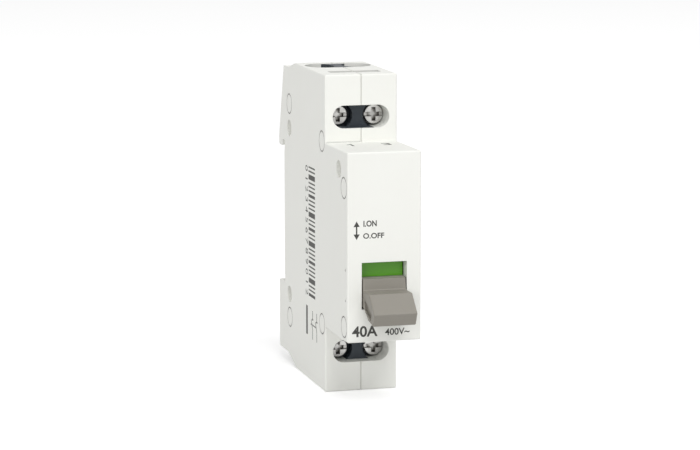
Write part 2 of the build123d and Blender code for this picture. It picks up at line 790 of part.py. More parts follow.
# Contact carrier: a window for each pole, and an arm that ends in an open fork for the drive pin
carrier_half = carrier_width / 2
carrier = block(
    -carrier_half, carrier_half, -carrier_front_depth, -carrier_back_depth, carrier_bottom, carrier_top
)
for pole in poles.values():
    window_half = bar_width / 2 + window_side_gap
    carrier -= block(
        pole - window_half,
        pole + window_half,
        -carrier_front_depth - cut_margin,
        -carrier_back_depth + cut_margin,
        carrier_window_bottom,
        carrier_window_top,
    )
yoke_half = drive_pin_diameter / 2 + yoke_gap
yoke_front = -drive_pin_depth - yoke_half - yoke_wall
yoke_back = -crank_mid_depth + yoke_half + yoke_wall
arm_outline = [
    (-carrier_front_depth, carrier_top - carrier_roof),
    (yoke_back, drive_pin_height + yoke_half + yoke_wall),
    (yoke_front, drive_pin_height + yoke_half + yoke_wall),
    (yoke_front, drive_pin_height - yoke_half - yoke_wall),
    (yoke_back, drive_pin_height - yoke_half - yoke_wall),
    (-carrier_front_depth, carrier_bottom),
]
arm = side_plate(arm_outline, -carrier_arm_width / 2, carrier_arm_width / 2)
yoke_slot = block(
    -carrier_arm_width,
    carrier_arm_width,
    yoke_front - cut_margin,
    -crank_mid_depth + yoke_half,
    drive_pin_height - yoke_half,
    drive_pin_height + yoke_half,
)
parts["contact_carrier"] = carrier + arm - yoke_slot

# Rail clip in its channel in the lower leg, with the spring above the stop
clip_front = clip_channel_depth + clip_gap
clip_back = clip_front + clip_thickness
clip_outline = [
    (clip_front, -clip_tail_height),
    (clip_back, -clip_tail_height),
    (clip_back, -clip_tip_height - clip_nose_drop),
    (clip_front + clip_nose_flat, -clip_tip_height),
    (clip_front, -clip_tip_height),
]
clip = side_plate(clip_outline, -clip_width / 2, clip_width / 2)
clip_window_half = clip_window_width / 2
clip_window_bottom = clip_stop_height + clip_stop_thickness + seat_gap
clip -= block(-clip_window_half, clip_window_half, 0, half_body, -clip_window_bottom, -clip_window_top)
clip_slot_mid = (clip_tail_height + clip_window_bottom) / 2
clip -= block(
    -clip_slot_width / 2,
    clip_slot_width / 2,
    0,
    half_body,
    -clip_slot_mid - clip_slot_height / 2,
    clip_slot_height / 2 - clip_slot_mid,
)
parts["rail_clip"] = clip
parts["clip_spring"] = coil_spring(
    clip_spring_diameter,
    clip_spring_wire,
    clip_spring_turns,
    -clip_stop_height + seat_gap,
    -clip_window_top - seat_gap,
    0,
    (clip_front + clip_back) / 2,
)

parts["left_housing"] = left_housing
parts["right_housing"] = right_housing
parts["pole_partition"] = partition

os.makedirs("parts", exist_ok=True)
for name, shape in parts.items():
    export_step(shape, os.path.join("parts", name + ".step"))
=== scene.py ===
import math

import bmesh
import bpy
from mathutils import Matrix, Vector


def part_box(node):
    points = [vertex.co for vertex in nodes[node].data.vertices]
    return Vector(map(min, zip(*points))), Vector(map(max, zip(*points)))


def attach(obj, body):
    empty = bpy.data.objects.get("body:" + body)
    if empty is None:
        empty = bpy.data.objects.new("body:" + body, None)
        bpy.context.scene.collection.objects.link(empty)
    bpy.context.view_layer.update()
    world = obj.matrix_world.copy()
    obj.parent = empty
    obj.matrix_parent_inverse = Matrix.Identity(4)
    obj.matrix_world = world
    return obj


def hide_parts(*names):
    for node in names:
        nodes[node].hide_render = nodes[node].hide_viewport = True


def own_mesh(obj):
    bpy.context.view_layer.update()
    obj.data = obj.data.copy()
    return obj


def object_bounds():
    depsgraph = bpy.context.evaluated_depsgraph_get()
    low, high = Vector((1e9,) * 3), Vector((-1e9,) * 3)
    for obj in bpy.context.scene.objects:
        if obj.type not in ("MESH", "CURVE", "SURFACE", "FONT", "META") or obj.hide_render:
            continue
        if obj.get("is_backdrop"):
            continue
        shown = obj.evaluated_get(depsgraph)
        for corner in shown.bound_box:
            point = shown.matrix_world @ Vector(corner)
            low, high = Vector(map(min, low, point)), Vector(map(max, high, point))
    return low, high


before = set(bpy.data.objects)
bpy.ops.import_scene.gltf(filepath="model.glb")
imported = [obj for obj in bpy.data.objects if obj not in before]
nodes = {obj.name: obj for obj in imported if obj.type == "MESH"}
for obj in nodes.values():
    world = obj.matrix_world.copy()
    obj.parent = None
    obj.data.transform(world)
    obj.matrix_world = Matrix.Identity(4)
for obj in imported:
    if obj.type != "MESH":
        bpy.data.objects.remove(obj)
cad_low, cad_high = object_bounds()


# Case halves. The case is moulded in two halves of off-white thermoplastic that meet on the middle
# of the width and are pegged together. The left half carries the whole front of the nose, and the
# faces have the fine dull texture of a spark-eroded mould.
mm = 0.001
housing_white = (0.86, 0.865, 0.825)
housing_shade = (0.83, 0.83, 0.785)
# Painted shade: away from the seam, the case's grooves darken towards this colour within this reach.
groove_painted_shade = (0.46, 0.46, 0.44)
groove_shade_reach = 0.5 * mm
unshaded_seam = 0.2 * mm
# Painted shade on the floor and walls of each label groove, inside a box given by these bounds.
label_groove_painted_shade = (0.58, 0.58, 0.555)
label_half_width = 6.31 * mm
label_front = -35.41 * mm
label_back = -31.99 * mm
label_height = 38 * mm
mould_grain_per_metre = 9000
mould_mottle_per_metre = 70
edge_softness = 0.14 * mm


def new_group(name, inputs, outputs):
    """Empty shader node group, with its sockets given as (name, kind, value) and (name, kind)."""
    group = bpy.data.node_groups.new(name, "ShaderNodeTree")
    for label, kind, value in inputs:
        socket = group.interface.new_socket(label, in_out="INPUT", socket_type=kind)
        socket.default_value = value
    for label, kind in outputs:
        group.interface.new_socket(label, in_out="OUTPUT", socket_type=kind)
    entry = group.nodes.new("NodeGroupInput")
    result = group.nodes.new("NodeGroupOutput")
    return group, entry, result


def moulded_surface_group():
    """Fine grain of a mould with a slow mottle of two near colours, in object coordinates."""
    group, entry, result = new_group(
        "moulded_surface",
        [
            ("Colour", "NodeSocketColor", (1, 1, 1, 1)),
            ("Shade", "NodeSocketColor", (1, 1, 1, 1)),
            ("Grain", "NodeSocketFloat", mould_grain_per_metre),
            ("Mottle", "NodeSocketFloat", mould_mottle_per_metre),
            ("Dull", "NodeSocketFloat", 0.5),
            ("Bright", "NodeSocketFloat", 0.4),
        ],
        [
            ("Colour", "NodeSocketColor"),
            ("Roughness", "NodeSocketFloat"),
            ("Height", "NodeSocketFloat"),
        ],
    )
    links = group.links
    place = group.nodes.new("ShaderNodeTexCoord")
    mottle = group.nodes.new("ShaderNodeTexNoise")
    mottle.inputs["Detail"].default_value = 4
    grain = group.nodes.new("ShaderNodeTexNoise")
    grain.inputs["Detail"].default_value = 3
    links.new(place.outputs["Object"], mottle.inputs["Vector"])
    links.new(place.outputs["Object"], grain.inputs["Vector"])
    links.new(entry.outputs["Mottle"], mottle.inputs["Scale"])
    links.new(entry.outputs["Grain"], grain.inputs["Scale"])
    tone = group.nodes.new("ShaderNodeMix")
    tone.data_type = "RGBA"
    links.new(mottle.outputs["Fac"], tone.inputs["Factor"])
    links.new(entry.outputs["Colour"], tone.inputs["A"])
    links.new(entry.outputs["Shade"], tone.inputs["B"])
    gloss = group.nodes.new("ShaderNodeMapRange")
    links.new(grain.outputs["Fac"], gloss.inputs["Value"])
    links.new(entry.outputs["Dull"], gloss.inputs["To Min"])
    links.new(entry.outputs["Bright"], gloss.inputs["To Max"])
    links.new(tone.outputs["Result"], result.inputs["Colour"])
    links.new(gloss.outputs["Result"], result.inputs["Roughness"])
    links.new(grain.outputs["Fac"], result.inputs["Height"])
    return group


moulded_surface = moulded_surface_group()


def recess_shade_group():
    """Mask for painted shade in the narrow places of one piece, from ambient occlusion: nought in the open
    and one deep in a groove.
    """
    group, entry, result = new_group(
        "recess", [("Reach", "NodeSocketFloat", 0.5 * mm)], [("Mask", "NodeSocketFloat")]
    )
    nearby = group.nodes.new("ShaderNodeAmbientOcclusion")
    nearby.samples = 8
    nearby.only_local = True
    group.links.new(entry.outputs["Reach"], nearby.inputs["Distance"])
    mask = group.nodes.new("ShaderNodeMapRange")
    mask.inputs["From Min"].default_value = 0.9
    mask.inputs["From Max"].default_value = 0.4
    group.links.new(nearby.outputs["AO"], mask.inputs["Value"])
    group.links.new(mask.outputs["Result"], result.inputs["Mask"])
    return group


recess = recess_shade_group()


def empty_material(name):
    """Material with a bare Principled shader on its output."""
    material = bpy.data.materials.new(name)
    material.use_nodes = True
    tree = material.node_tree
    tree.nodes.clear()
    shader = tree.nodes.new("ShaderNodeBsdfPrincipled")
    surface = tree.nodes.new("ShaderNodeOutputMaterial")
    tree.links.new(shader.outputs["BSDF"], surface.inputs["Surface"])
    return material, tree, shader


def rgba(colour):
    return (*colour, 1)


def soft_edges(tree, shader, height, relief, radius):
    """Bump from a height on top of a normal that is rounded at the edges."""
    edge = tree.nodes.new("ShaderNodeBevel")
    edge.samples = 6
    edge.inputs["Radius"].default_value = radius
    bump = tree.nodes.new("ShaderNodeBump")
    bump.inputs["Strength"].default_value = 1
    bump.inputs["Distance"].default_value = relief
    tree.links.new(height, bump.inputs["Height"])
    tree.links.new(edge.outputs["Normal"], bump.inputs["Normal"])
    tree.links.new(bump.outputs["Normal"], shader.inputs["Normal"])


def paint_shade_in_recesses(tree, shader, bare, shade_colour, reach):
    """Gives a shader a bare colour that turns to a painted shade colour in the recesses, and returns the
    mask and the mix.
    """
    narrow = tree.nodes.new("ShaderNodeGroup")
    narrow.node_tree = recess
    narrow.inputs["Reach"].default_value = reach
    tone = tree.nodes.new("ShaderNodeMix")
    tone.data_type = "RGBA"
    tone.inputs["B"].default_value = rgba(shade_colour)
    tree.links.new(narrow.outputs["Mask"], tone.inputs["Factor"])
    tree.links.new(bare, tone.inputs["A"])
    tree.links.new(tone.outputs["Result"], shader.inputs["Base Color"])
    return narrow, tone


def moulded_plastic(name, colour, shade, dull, bright, relief):
    """Moulded thermoplastic with its grain, mottle and softened edges."""
    material, tree, shader = empty_material(name)
    surface = tree.nodes.new("ShaderNodeGroup")
    surface.node_tree = moulded_surface
    surface.inputs["Colour"].default_value = rgba(colour)
    surface.inputs["Shade"].default_value = rgba(shade)
    surface.inputs["Dull"].default_value = dull
    surface.inputs["Bright"].default_value = bright
    tree.links.new(surface.outputs["Colour"], shader.inputs["Base Color"])
    tree.links.new(surface.outputs["Roughness"], shader.inputs["Roughness"])
    soft_edges(tree, shader, surface.outputs["Height"], relief, edge_softness)
    shader.inputs["IOR"].default_value = 1.5
    return material


def beyond(tree, value, limit, keep_above):
    """One where a value is above a limit, or below it, and nought elsewhere."""
    test = tree.nodes.new("ShaderNodeMath")
    test.operation = "GREATER_THAN" if keep_above else "LESS_THAN"
    test.inputs[1].default_value = limit
    tree.links.new(value, test.inputs[0])
    return test.outputs["Value"]


def magnitude(tree, value):
    size = tree.nodes.new("ShaderNodeMath")
    size.operation = "ABSOLUTE"
    tree.links.new(value, size.inputs[0])
    return size.outputs["Value"]


def product(tree, values):
    """All of some values multiplied together."""
    total = values[0]
    for value in values[1:]:
        step = tree.nodes.new("ShaderNodeMath")
        step.operation = "MULTIPLY"
        tree.links.new(total, step.inputs[0])
        tree.links.new(value, step.inputs[1])
        total = step.outputs["Value"]
    return total


def paint_groove_shade(material):
    """Paints shade into the fine grooves of a half of the case, but not into its seam, and into the floor
    of each label groove.
    """
    tree = material.node_tree
    shader = tree.nodes["Principled BSDF"]
    bare = shader.inputs["Base Color"].links[0].from_socket
    narrow, tone = paint_shade_in_recesses(tree, shader, bare, groove_painted_shade, groove_shade_reach)
    place = tree.nodes.new("ShaderNodeTexCoord")
    split = tree.nodes.new("ShaderNodeSeparateXYZ")
    tree.links.new(place.outputs["Object"], split.inputs["Vector"])
    aside = magnitude(tree, split.outputs["X"])
    groove_shade_factor = product(tree, [narrow.outputs["Mask"], beyond(tree, aside, unshaded_seam, True)])
    tree.links.new(groove_shade_factor, tone.inputs["Factor"])
    # Painted shade over the box of each label groove.
    label_groove_box = [
        beyond(tree, aside, label_half_width, False),
        beyond(tree, split.outputs["Y"], label_front, True),
        beyond(tree, split.outputs["Y"], label_back, False),
        beyond(tree, magnitude(tree, split.outputs["Z"]), label_height, True),
    ]
    label = tree.nodes.new("ShaderNodeMix")
    label.data_type = "RGBA"
    label.inputs["B"].default_value = rgba(label_groove_painted_shade)
    tree.links.new(product(tree, label_groove_box), label.inputs["Factor"])
    tree.links.new(tone.outputs["Result"], label.inputs["A"])
    tree.links.new(label.outputs["Result"], shader.inputs["Base Color"])


def finish_node(name, material):
    """Gives a solid of the case or the mechanism its material."""
    slots = nodes[name].data.materials
    slots.clear()
    slots.append(material)


housing_plastic = moulded_plastic(
    "housing_plastic", housing_white, housing_shade,
    dull=0.62,
    bright=0.5,
    relief=0.012 * mm,
)
# Painted shade in the grooves and the label grooves of both halves.
paint_groove_shade(housing_plastic)
for half in ("left_housing", "right_housing"):
    finish_node(half, housing_plastic)


# Pole partition. A thin plate of dark slate plastic stands between the two poles, with a thicker
# barrier in each screw well and each cable mouth. It is trapped between the case halves.
slate = (0.027, 0.036, 0.046)
slate_shade = (0.021, 0.029, 0.038)
slate_plastic = moulded_plastic(
    "slate_plastic", slate, slate_shade,
    dull=0.6,
    bright=0.48,
    relief=0.012 * mm,
)
finish_node("pole_partition", slate_plastic)


# Copper bars and bridges. They are stamped and bent from half-hard strip, with rolling lines along
# the strip and slightly darker patches where the metal has been handled.
copper = (0.80, 0.42, 0.27)
copper_dark = (0.58, 0.28, 0.18)
rolling_lines_per_metre = 2500
handled_patches_per_metre = 180


def rolled_metal_group():
    """Fine lines along one direction with a slow change of tone, as rolling or drawing leaves them."""
    group, entry, result = new_group(
        "rolled_metal",
        [
            ("Colour", "NodeSocketColor", (1, 1, 1, 1)),
            ("Tarnish", "NodeSocketColor", (1, 1, 1, 1)),
            ("Stretch", "NodeSocketVector", (1, 1, 1)),
            ("Dull", "NodeSocketFloat", 0.4),
            ("Bright", "NodeSocketFloat", 0.25),
        ],
        [
            ("Colour", "NodeSocketColor"),
            ("Roughness", "NodeSocketFloat"),
            ("Height", "NodeSocketFloat"),
        ],
    )
    links = group.links
    place = group.nodes.new("ShaderNodeTexCoord")
    stretch = group.nodes.new("ShaderNodeVectorMath")
    stretch.operation = "MULTIPLY"
    links.new(place.outputs["Object"], stretch.inputs[0])
    links.new(entry.outputs["Stretch"], stretch.inputs[1])
    lines = group.nodes.new("ShaderNodeTexNoise")
    lines.inputs["Scale"].default_value = rolling_lines_per_metre
    lines.inputs["Detail"].default_value = 3
    links.new(stretch.outputs["Vector"], lines.inputs["Vector"])
    patches = group.nodes.new("ShaderNodeTexNoise")
    patches.inputs["Scale"].default_value = handled_patches_per_metre
    patches.inputs["Detail"].default_value = 3
    links.new(place.outputs["Object"], patches.inputs["Vector"])
    spread = group.nodes.new("ShaderNodeMapRange")
    spread.inputs["From Min"].default_value = 0.45
    spread.inputs["From Max"].default_value = 0.75
    links.new(patches.outputs["Fac"], spread.inputs["Value"])
    tone = group.nodes.new("ShaderNodeMix")
    tone.data_type = "RGBA"
    links.new(spread.outputs["Result"], tone.inputs["Factor"])
    links.new(entry.outputs["Colour"], tone.inputs["A"])
    links.new(entry.outputs["Tarnish"], tone.inputs["B"])
    gloss = group.nodes.new("ShaderNodeMapRange")
    links.new(lines.outputs["Fac"], gloss.inputs["Value"])
    links.new(entry.outputs["Dull"], gloss.inputs["To Min"])
    links.new(entry.outputs["Bright"], gloss.inputs["To Max"])
    links.new(tone.outputs["Result"], result.inputs["Colour"])
    links.new(gloss.outputs["Result"], result.inputs["Roughness"])
    links.new(lines.outputs["Fac"], result.inputs["Height"])
    return group


rolled_metal = rolled_metal_group()


def strip_metal(name, colour, tarnish, stretch, dull, bright, relief):
    """Metal with drawn or rolled lines."""
    material, tree, shader = empty_material(name)
    surface = tree.nodes.new("ShaderNodeGroup")
    surface.node_tree = rolled_metal
    surface.inputs["Colour"].default_value = rgba(colour)
    surface.inputs["Tarnish"].default_value = rgba(tarnish)
    surface.inputs["Stretch"].default_value = stretch
    surface.inputs["Dull"].default_value = dull
    surface.inputs["Bright"].default_value = bright
    tree.links.new(surface.outputs["Colour"], shader.inputs["Base Color"])
    tree.links.new(surface.outputs["Roughness"], shader.inputs["Roughness"])
    soft_edges(tree, shader, surface.outputs["Height"], relief, edge_softness)
    shader.inputs["Metallic"].default_value = 1
    return material


copper_strip = strip_metal(
    "copper_strip", copper, copper_dark, (1, 0.12, 0.12),
    dull=0.42,
    bright=0.26,
    relief=0.004 * mm,
)
pole_names = ("left", "right")
end_names = ("upper", "lower")
for pole in pole_names:
    finish_node("moving_contact_" + pole, copper_strip)
    for end in end_names:
        finish_node("terminal_bar_" + end + "_" + pole, copper_strip)


# Contact tips. Round silver-alloy buttons are brazed to the bars and bridges, two to each pole on
# the bars and two on each bridge. They stay dull where they meet.
silver = (0.86, 0.85, 0.82)
silver_dark = (0.62, 0.60, 0.56)
silver_alloy = strip_metal(
    "silver_alloy", silver, silver_dark, (1, 1, 1),
    dull=0.5,
    bright=0.36,
    relief=0.003 * mm,
)
for pole in pole_names:
    finish_node("moving_tips_" + pole, silver_alloy)
    for end in end_names:
        finish_node("fixed_tip_" + end + "_" + pole, silver_alloy)


# Cage clamps. Each is folded from steel with a thick threaded front, zinc plated, and slides in its
# chamber when the screw turns.
zinc = (0.60, 0.60, 0.585)
zinc_dark = (0.42, 0.42, 0.41)
zinc_plate = strip_metal(
    "zinc_plate", zinc, zinc_dark, (0.2, 1, 1),
    dull=0.42,
    bright=0.28,
    relief=0.004 * mm,
)
for pole in pole_names:
    for end in end_names:
        finish_node("cage_clamp_" + end + "_" + pole, zinc_plate)


# Terminal screws. Cheese-head steel screws, zinc plated, with a cross recess and a slot so that either
# driver fits. The head is turned, which leaves faint rings, and the shank carries a rolled thread.
screw_zinc = (0.66, 0.655, 0.635)
screw_zinc_dark = (0.44, 0.435, 0.42)
turning_pitch = 0.35 * mm
turning_relief = 0.004 * mm
head_height = 1.65 * mm
head_chamfer = 0.1 * mm
thread_pitch = 0.6 * mm
thread_root_radius = 1.45 * mm
thread_crest_radius = 1.72 * mm
thread_half_root = 0.27 * mm
thread_sink = 0.05 * mm
thread_start = 1.4 * mm
thread_end = 0.7 * mm
point_chamfer = 0.45 * mm
cross_span = 3.4 * mm
cross_arm = 1.05 * mm
cross_depth = 1.3 * mm
cross_taper = 0.8
slot_width = 0.95 * mm
slot_depth = 0.5 * mm
# Painted shade in the cross recess and the slot of each screw.
recess_painted_shade = (0.12, 0.112, 0.10)
recess_shade_reach = 0.8 * mm
screw_facets = 48
thread_facets = 24


def turned_zinc(centre):
    """Plated steel with turning rings round the axis of one screw, and painted shade that darkens its cross
    recess and slot.
    """
    material, tree, shader = empty_material("turned_zinc")
    place = tree.nodes.new("ShaderNodeTexCoord")
    centred = tree.nodes.new("ShaderNodeMapping")
    centred.vector_type = "POINT"
    centred.inputs["Location"].default_value = -centre
    tree.links.new(place.outputs["Object"], centred.inputs["Vector"])
    rings = tree.nodes.new("ShaderNodeTexWave")
    rings.wave_type = "RINGS"
    rings.rings_direction = "Y"
    rings.inputs["Scale"].default_value = 1 / (turning_pitch * math.tau)
    rings.inputs["Distortion"].default_value = 0.6
    tree.links.new(centred.outputs["Vector"], rings.inputs["Vector"])
    surface = tree.nodes.new("ShaderNodeGroup")
    surface.node_tree = rolled_metal
    surface.inputs["Colour"].default_value = rgba(screw_zinc)
    surface.inputs["Tarnish"].default_value = rgba(screw_zinc_dark)
    surface.inputs["Dull"].default_value = 0.42
    surface.inputs["Bright"].default_value = 0.26
    # Painted shade: the base colour darkens in the cross recess and the slot.
    paint_shade_in_recesses(tree, shader, surface.outputs["Colour"], recess_painted_shade, recess_shade_reach)
    tree.links.new(surface.outputs["Roughness"], shader.inputs["Roughness"])
    soft_edges(tree, shader, rings.outputs["Fac"], turning_relief, edge_softness)
    shader.inputs["Metallic"].default_value = 1
    return material


def mesh_from(bm, name):
    """Closes what is open in a bmesh, turns its faces outwards and makes it a mesh."""
    bmesh.ops.remove_doubles(bm, verts=bm.verts, dist=0.001 * mm)
    open_edges = [edge for edge in bm.edges if edge.is_boundary]
    bmesh.ops.holes_fill(bm, edges=open_edges, sides=0)
    bmesh.ops.recalc_face_normals(bm, faces=bm.faces)
    mesh = bpy.data.meshes.new(name)
    bm.to_mesh(mesh)
    bm.free()
    return mesh


def add_piece(name, mesh, material, body):
    """Puts a finished mesh in the scene, with its material and on its body."""
    mesh.materials.append(material)
    piece = bpy.data.objects.new(name, mesh)
    bpy.context.scene.collection.objects.link(piece)
    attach(piece, body)
    return piece


def smooth_below(mesh, degrees):
    """Smooth shading that keeps the edges sharper than an angle."""
    mesh.shade_smooth()
    mesh.set_sharp_from_angle(angle=math.radians(degrees))


def turned_solid(bm, outline, facets):
    """Spins an outline of (radius, y) points round the Y axis."""
    points = [bm.verts.new((radius, y, 0)) for radius, y in outline]
    lines = [bm.edges.new(pair) for pair in zip(points, points[1:])]
    bmesh.ops.spin(
        bm,
        geom=points + lines,
        cent=(0, 0, 0),
        axis=(0, 1, 0),
        angle=math.tau,
        steps=facets,
        use_merge=True,
    )


def helical_run(bm, section, axis, pitch, turns, facets):
    """Sweeps a closed section of edges along a helix and returns the section at its end."""
    swept = bmesh.ops.spin(
        bm,
        geom=section,
        cent=(0, 0, 0),
        axis=axis,
        dvec=axis * (pitch / facets),
        angle=math.tau * turns,
        steps=round(turns * facets),
        use_merge=False,
    )
    return swept["geom_last"]


def cut_from(mesh, cutters):
    """Takes closed cutter meshes out of a closed mesh."""
    body = bpy.data.objects.new("blank", mesh)
    bpy.context.scene.collection.objects.link(body)
    tools = []
    for cutter in cutters:
        tool = bpy.data.objects.new("cutter", cutter)
        bpy.context.scene.collection.objects.link(tool)
        tools.append(tool)
        cut = body.modifiers.new("cut", "BOOLEAN")
        cut.operation = "DIFFERENCE"
        cut.solver = "EXACT"
        cut.object = tool
    graph = bpy.context.evaluated_depsgraph_get()
    result = bpy.data.meshes.new_from_object(body.evaluated_get(graph))
    for item in [body] + tools:
        spent = item.data
        bpy.data.objects.remove(item)
        bpy.data.meshes.remove(spent)
    return result


def tapered_bar(size, taper, place):
    """Closed bar along Y that narrows towards +Y, in size (x, y, z), its wide face at the place."""
    bm = bmesh.new()
    bmesh.ops.create_cube(bm, size=1, matrix=Matrix.Diagonal((*size, 1)))
    far = [vert for vert in bm.verts if vert.co.y > 0]
    bmesh.ops.scale(bm, vec=(taper, 1, taper), verts=far)
    bmesh.ops.translate(bm, vec=(0, size[1] / 2, 0), verts=bm.verts)
    bmesh.ops.translate(bm, vec=place, verts=bm.verts)
    return mesh_from(bm, "cutter")


def screw_mesh(low, high):
    """Screw along Y between two corners, with its head, recess, slot, shank and thread, and its metal."""
    centre = Vector(((low.x + high.x) / 2, 0, (low.z + high.z) / 2))
    face = low.y
    seat = face + head_height
    tip = high.y
    head_radius = (high.x - low.x) / 2
    over = 0.2 * mm
    bm = bmesh.new()
    turned_solid(
        bm,
        [
            (0, face),
            (head_radius - head_chamfer, face),
            (head_radius, face + head_chamfer),
            (head_radius, seat),
            (thread_crest_radius, seat),
            (thread_crest_radius, seat + thread_start - thread_half_root),
            (thread_root_radius, seat + thread_start),
            (thread_root_radius, tip - point_chamfer),
            (thread_root_radius - point_chamfer, tip),
            (0, tip),
        ],
        screw_facets,
    )
    blank = mesh_from(bm, "screw_blank")
    arm_depth = cross_depth + over
    front = (0, face - over, 0)
    cross_arms = [
        tapered_bar((cross_span, arm_depth, cross_arm), cross_taper, front),
        tapered_bar((cross_arm, arm_depth, cross_span), cross_taper, front),
        tapered_bar((head_radius * 3, slot_depth + over, slot_width), 1, front),
    ]
    screw = cut_from(blank, cross_arms)
    bm = bmesh.new()
    bm.from_mesh(screw)
    bpy.data.meshes.remove(screw)
    first = seat + thread_start
    root = thread_root_radius - thread_sink
    corners = [
        bm.verts.new((root, first - thread_half_root, 0)),
        bm.verts.new((thread_crest_radius, first, 0)),
        bm.verts.new((root, first + thread_half_root, 0)),
    ]
    section = bm.faces.new(corners)
    turns = (tip - thread_end - first) / thread_pitch
    ridge = section.edges[:] + section.verts[:]
    helical_run(bm, ridge, Vector((0, 1, 0)), thread_pitch, turns, thread_facets)
    bmesh.ops.translate(bm, vec=centre, verts=bm.verts)
    mesh = mesh_from(bm, "terminal_screw")
    smooth_below(mesh, 32)
    return mesh, turned_zinc(centre)


for pole in pole_names:
    for end in end_names:
        corner = end + "_" + pole
        replaced = "terminal_screw_" + corner
        low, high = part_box(replaced)
        mesh, plating = screw_mesh(low, high)
        screw = add_piece("clamp_screw_" + corner, mesh, plating, "screw_" + corner)
        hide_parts(replaced)


# Well trays. A thin tray of the same slate plastic as the partition lies on the floor of each screw
# well, round the heads, and lines the well's side that is nearer the nose. The barrier holds it down.
tray_gap = 0.02 * mm
tray_wall = 0.1 * mm
tray_front_gap = 0.1 * mm
tray_rim_drop = 1.5 * mm
tray_right_end = 3.3 * mm
tray_hole_gap = 0.07 * mm
well_radius = 2.75 * mm
well_end_reach = 2.55 * mm
well_depth = 6.5 * mm
seat_depth = 1.7 * mm
barrier_half = 2.7 * mm
barrier_depth = 3.2 * mm
barrier_arc_radius = 3.2 * mm
tray_facets = 64
clear_of_case = 20 * mm
before_case = -60 * mm


def stadium_prism(radius, half_run, front, back):
    """Closed prism along Y with a round-ended outline that lies along X."""
    bm = bmesh.new()
    place = Matrix.Translation((0, front, 0)) @ Matrix.Rotation(math.pi / 2, 4, "X")
    bmesh.ops.create_circle(bm, cap_ends=True, segments=tray_facets, radius=radius, matrix=place)
    for side in (-1, 1):
        verts = [vert for vert in bm.verts if vert.co.x * side > 0]
        bmesh.ops.translate(bm, vec=(side * half_run, 0, 0), verts=verts)
    grown = bmesh.ops.extrude_face_region(bm, geom=bm.faces[:])
    verts = [item for item in grown["geom"] if isinstance(item, bmesh.types.BMVert)]
    bmesh.ops.translate(bm, vec=(0, back - front, 0), verts=verts)
    return mesh_from(bm, "cutter")


def block_mesh(low, high):
    """Closed block between two corners."""
    bm = bmesh.new()
    size = Vector(high) - Vector(low)
    middle = Matrix.Translation((Vector(low) + Vector(high)) / 2)
    bmesh.ops.create_cube(bm, size=1, matrix=middle @ Matrix.Diagonal((*size, 1)))
    return mesh_from(bm, "cutter")


def rod_mesh(radius, x, front, back):
    """Closed rod along Y."""
    bm = bmesh.new()
    place = Matrix.Translation((x, (front + back) / 2, 0)) @ Matrix.Rotation(math.pi / 2, 4, "X")
    bmesh.ops.create_cone(
        bm,
        cap_ends=True,
        segments=tray_facets,
        radius1=radius,
        radius2=radius,
        depth=back - front,
        matrix=place,
    )
    return mesh_from(bm, "cutter")


def tray_mesh(pole_x, head_radius, screw_z, seat):
    """Tray of one screw well, with its floor on the seat of the screw heads and its side to the nose."""
    floor_front = seat - tray_wall
    rim_front = seat - well_depth + tray_front_gap
    half_run = pole_x + well_end_reach - well_radius
    blank = stadium_prism(well_radius - tray_gap, half_run, rim_front, seat + tray_gap)
    arc_radius = barrier_arc_radius - tray_gap
    hole_radius = head_radius + tray_hole_gap
    arcs = [rod_mesh(arc_radius, x, before_case, clear_of_case) for x in (-pole_x, pole_x)]
    barrier = block_mesh(
        (-barrier_half - tray_gap, seat - barrier_depth - tray_gap, -clear_of_case),
        (barrier_half + tray_gap, clear_of_case, clear_of_case),
    )
    over_rim = block_mesh(
        (-clear_of_case, before_case, -tray_rim_drop), (clear_of_case, floor_front, clear_of_case)
    )
    past_end = block_mesh(
        (tray_right_end, before_case, -clear_of_case), (clear_of_case, floor_front, clear_of_case)
    )
    cutters = [
        stadium_prism(well_radius - tray_gap - tray_wall, half_run, before_case, floor_front),
        over_rim,
        past_end,
        cut_from(barrier, arcs),
    ]
    cutters += [rod_mesh(hole_radius, x, before_case, clear_of_case) for x in (-pole_x, pole_x)]
    tray = cut_from(blank, cutters)
    bm = bmesh.new()
    bm.from_mesh(tray)
    bpy.data.meshes.remove(tray)
    bmesh.ops.scale(bm, vec=(1, 1, math.copysign(1, screw_z)), verts=bm.verts)
    bmesh.ops.translate(bm, vec=(0, 0, screw_z), verts=bm.verts)
    return mesh_from(bm, "well_tray")


for end in end_names:
    low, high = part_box("terminal_screw_" + end + "_right")
    head_radius = (high.x - low.x) / 2
    tray = tray_mesh((low.x + high.x) / 2, head_radius, (low.z + high.z) / 2, low.y + seat_depth)
    add_piece("well_tray_" + end, tray, slate_plastic, "case")


# Toggle. One moulding of taupe plastic: the drum that turns on a steel pin, and the lever in front.
# The flag is a green insert let into the drum, so it shows above the lever when the switch is off.
toggle_taupe = (0.254, 0.238, 0.205)
toggle_taupe_shade = (0.230, 0.215, 0.185)
flag_green = (0.100, 0.365, 0.007)
flag_green_shade = (0.084, 0.315, 0.006)
toggle_plastic = moulded_plastic(
    "toggle_plastic", toggle_taupe, toggle_taupe_shade,
    dull=0.52,
    bright=0.4,
    relief=0.006 * mm,
)
finish_node("toggle", toggle_plastic)
flag_plastic = moulded_plastic(
    "flag_plastic", flag_green, flag_green_shade,
    dull=0.4,
    bright=0.3,
    relief=0.004 * mm,
)
finish_node("open_flag", flag_plastic)


